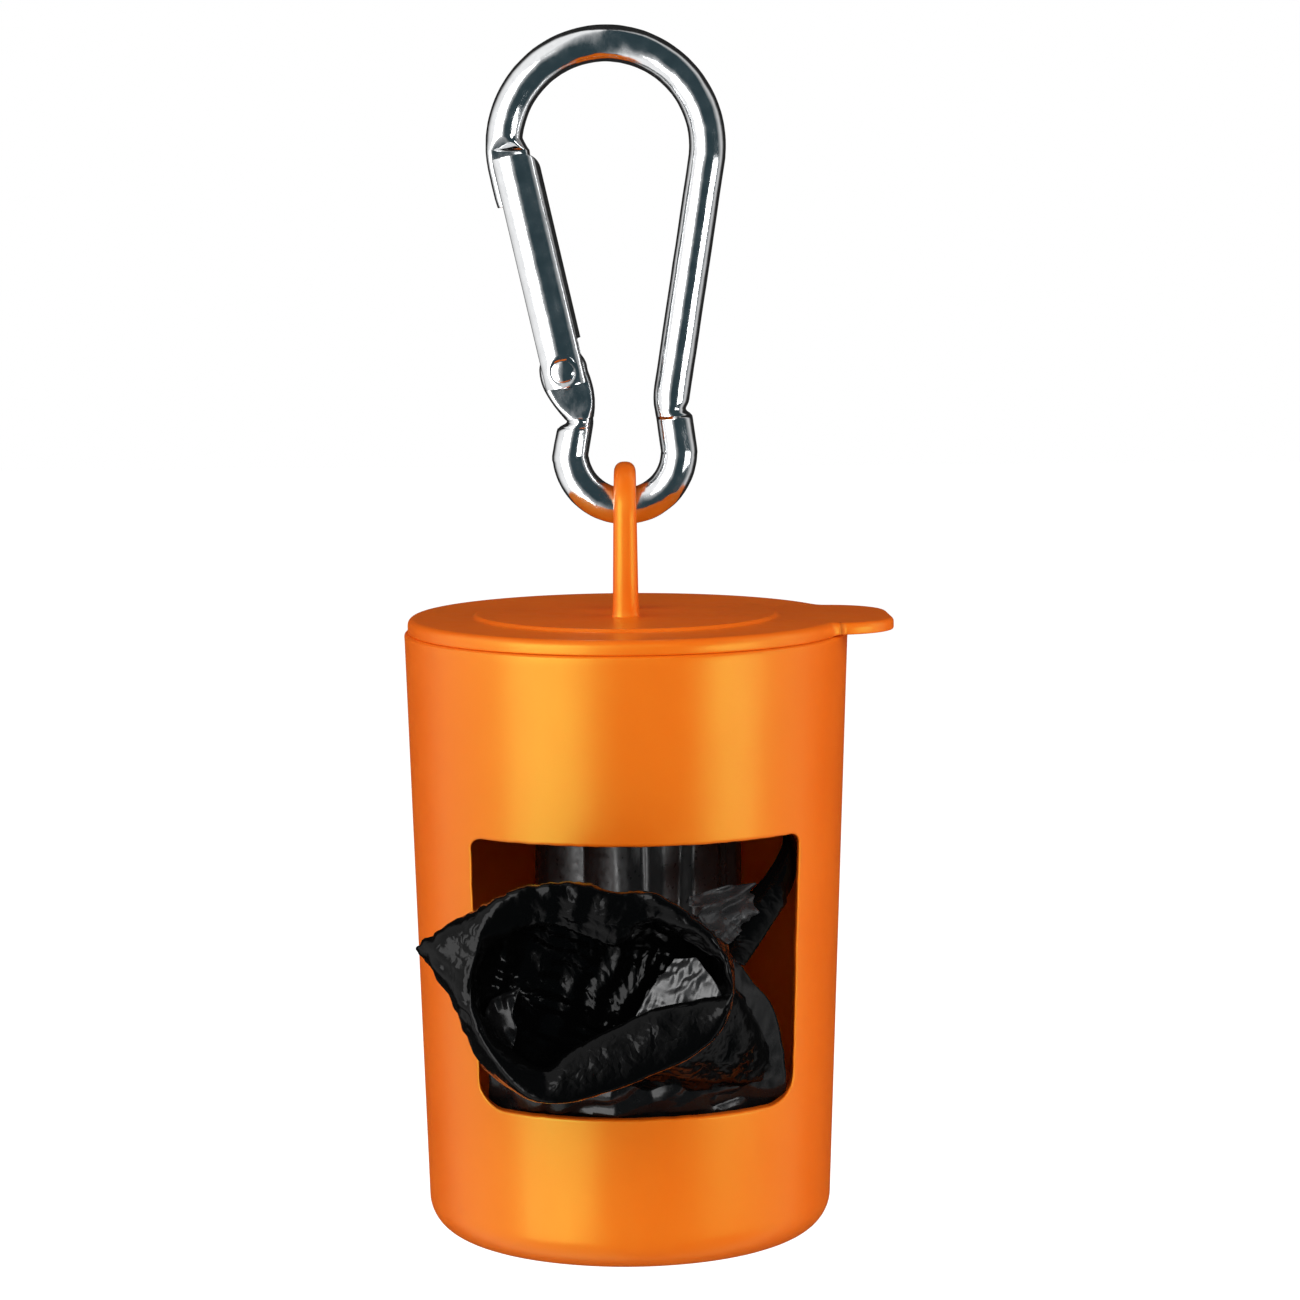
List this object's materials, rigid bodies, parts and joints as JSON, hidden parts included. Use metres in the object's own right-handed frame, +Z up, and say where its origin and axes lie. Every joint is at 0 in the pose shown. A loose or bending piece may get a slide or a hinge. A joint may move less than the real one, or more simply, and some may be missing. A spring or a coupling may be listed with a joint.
{
  "type": "dog poop bag dispenser",
  "caption": "Tapered cylindrical bag dispenser with a window in its side, a push-fit lid with thumb tab and loop, hung from a wire carabiner with a sprung gate.",
  "frame": {"origin": "the point inside the top arc of the carabiner where the dispenser hangs, straight above the lid's loop", "axes": "+Z up along the canister's axis, -Y the way the window faces and the bags come out, +X to the right of someone facing the window, on the side of the thumb tab"},
  "size_m": [0.0496, 0.0574, 0.1225],
  "materials": {
    "orange_plastic": "moulded, satin gloss",
    "aluminium": "polished",
    "spring_steel": "drawn wire",
    "card": "plain card",
    "film": "thin glossy film"
  },
  "bodies": {
    "carabiner": {"carabiner_body": "aluminium"},
    "gate": {"carabiner_gate": "aluminium", "gate_rivet": "aluminium", "gate_spring": "spring_steel"},
    "lid": {"lid": "orange_plastic"},
    "canister": {"canister": "orange_plastic"},
    "roll": {"roll_core": "card", "bag_roll": "film"},
    "pulled_bag": {"pulled_bag": "film"}
  },
  "joints": [
    {"name": "gate_hinge", "type": "hinge", "parent": "carabiner", "child": "gate", "pos_m": [-0.0061, 0, -0.03071], "axis": [0, 1, 0], "range_deg": [0, 30], "stiffness_Nm_per_rad": 0.03, "springref_deg": -20.05},
    {"name": "lid_swing", "type": "hinge", "parent": "carabiner", "child": "lid", "pos_m": [0, 0, -0.04439], "axis": [1, 0, 0], "range_deg": [-90, 90]},
    {"name": "lid_pull", "type": "slide", "parent": "lid", "child": "canister", "axis": [0, 0, -1], "range_m": [0, 0.02]},
    {"name": "roll_spin", "type": "hinge", "parent": "canister", "child": "roll", "pos_m": [0.001, 0.0015, -0.1], "axis": [0, 0, -1], "range_deg": [0, 157]},
    {"name": "bag_pull", "type": "slide", "parent": "canister", "child": "pulled_bag", "axis": [0, -1, 0], "range_m": [0, 0.03]}
  ],
  "couplings": [
    {"joint": "bag_pull", "follows": "roll_spin", "m_per_rad": 0.0109}
  ]
}
